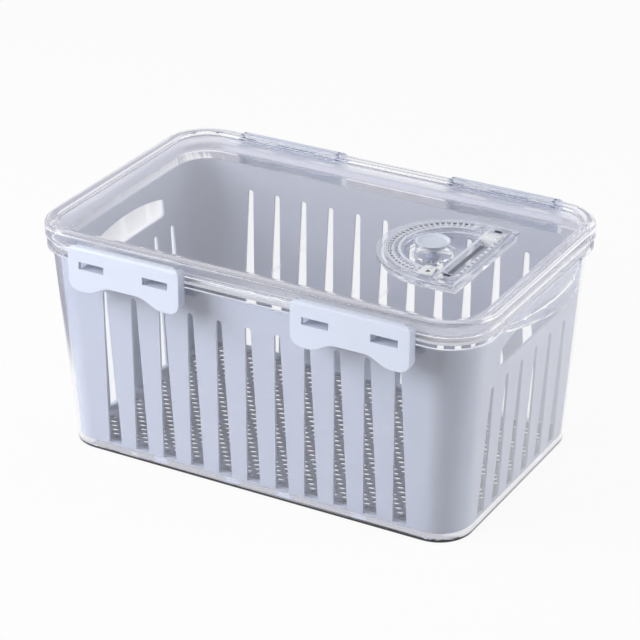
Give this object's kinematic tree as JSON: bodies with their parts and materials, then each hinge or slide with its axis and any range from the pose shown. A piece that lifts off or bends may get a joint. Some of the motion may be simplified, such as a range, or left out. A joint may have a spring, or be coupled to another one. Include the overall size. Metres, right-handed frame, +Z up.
{
  "type": "produce keeper",
  "caption": "Clear fridge box for produce with a slotted drain basket, a clear lid with a date dial and vent knob, snap latches along both long sides, and half-moon grip ledges.",
  "frame": {"origin": "centre of the bin's base, on the surface that it stands on", "axes": "+X along the length, towards the end with the date dial; +Y towards the back; +Z up"},
  "size_m": [0.3256, 0.2052, 0.1514],
  "materials": {
    "clear_bin": "clear moulded plastic",
    "clear_lid": "clear moulded plastic",
    "clear_dial": "clear moulded plastic",
    "basket_plastic": "satin grey-blue moulded plastic",
    "latch_plastic": "satin pale blue-grey moulded plastic",
    "soft_seal": "soft translucent grey seal",
    "white_plastic": "white moulded plastic",
    "vent_plastic": "pale grey soft plastic"
  },
  "bodies": {
    "box": {"bin": "clear_bin", "drain_basket": "basket_plastic"},
    "lid_body": {"lid": "clear_lid", "lid_gasket": "soft_seal", "dial_frame": "clear_dial"},
    "latch_front_left_body": {"latch_front_left": "latch_plastic"},
    "latch_front_right_body": {"latch_front_right": "latch_plastic"},
    "latch_back_left_body": {"latch_back_left": "latch_plastic"},
    "latch_back_right_body": {"latch_back_right": "latch_plastic"},
    "day_pointer_body": {"day_pointer": "white_plastic"},
    "month_slider_body": {"month_slider": "white_plastic"},
    "vent_body": {"vent_plug": "vent_plastic", "vent_seal": "soft_seal"}
  },
  "joints": [
    {"name": "lid_lift", "type": "slide", "parent": "box", "child": "lid_body", "axis": [0, 0, 1], "range_m": [0, 0.013]},
    {"name": "latch_front_left_hinge", "type": "hinge", "parent": "lid_body", "child": "latch_front_left_body", "pos_m": [-0.0758, -0.0992, 0.1436], "axis": [-1, 0, 0], "range_deg": [0, 110]},
    {"name": "latch_front_right_hinge", "type": "hinge", "parent": "lid_body", "child": "latch_front_right_body", "pos_m": [0.0758, -0.0992, 0.1436], "axis": [-1, 0, 0], "range_deg": [0, 110]},
    {"name": "latch_back_left_hinge", "type": "hinge", "parent": "lid_body", "child": "latch_back_left_body", "pos_m": [-0.0758, 0.0992, 0.1436], "axis": [1, 0, 0], "range_deg": [0, 110]},
    {"name": "latch_back_right_hinge", "type": "hinge", "parent": "lid_body", "child": "latch_back_right_body", "pos_m": [0.0758, 0.0992, 0.1436], "axis": [1, 0, 0], "range_deg": [0, 110]},
    {"name": "day_turn", "type": "hinge", "parent": "lid_body", "child": "day_pointer_body", "pos_m": [0.0885, 0, 0.1488], "axis": [0, 0, -1], "range_deg": [0, 186]},
    {"name": "month_slide", "type": "slide", "parent": "lid_body", "child": "month_slider_body", "axis": [0, 1, 0], "range_m": [-0.05, 0.003]},
    {"name": "vent_pull", "type": "slide", "parent": "lid_body", "child": "vent_body", "axis": [0, 0, 1], "range_m": [0, 0.003]}
  ],
  "couplings": [
    {"joint": "latch_front_left_hinge", "follows": "lid_lift", "rad_per_m": 147.6},
    {"joint": "latch_front_right_hinge", "follows": "lid_lift", "rad_per_m": 147.6},
    {"joint": "latch_back_left_hinge", "follows": "lid_lift", "rad_per_m": 147.6},
    {"joint": "latch_back_right_hinge", "follows": "lid_lift", "rad_per_m": 147.6}
  ]
}
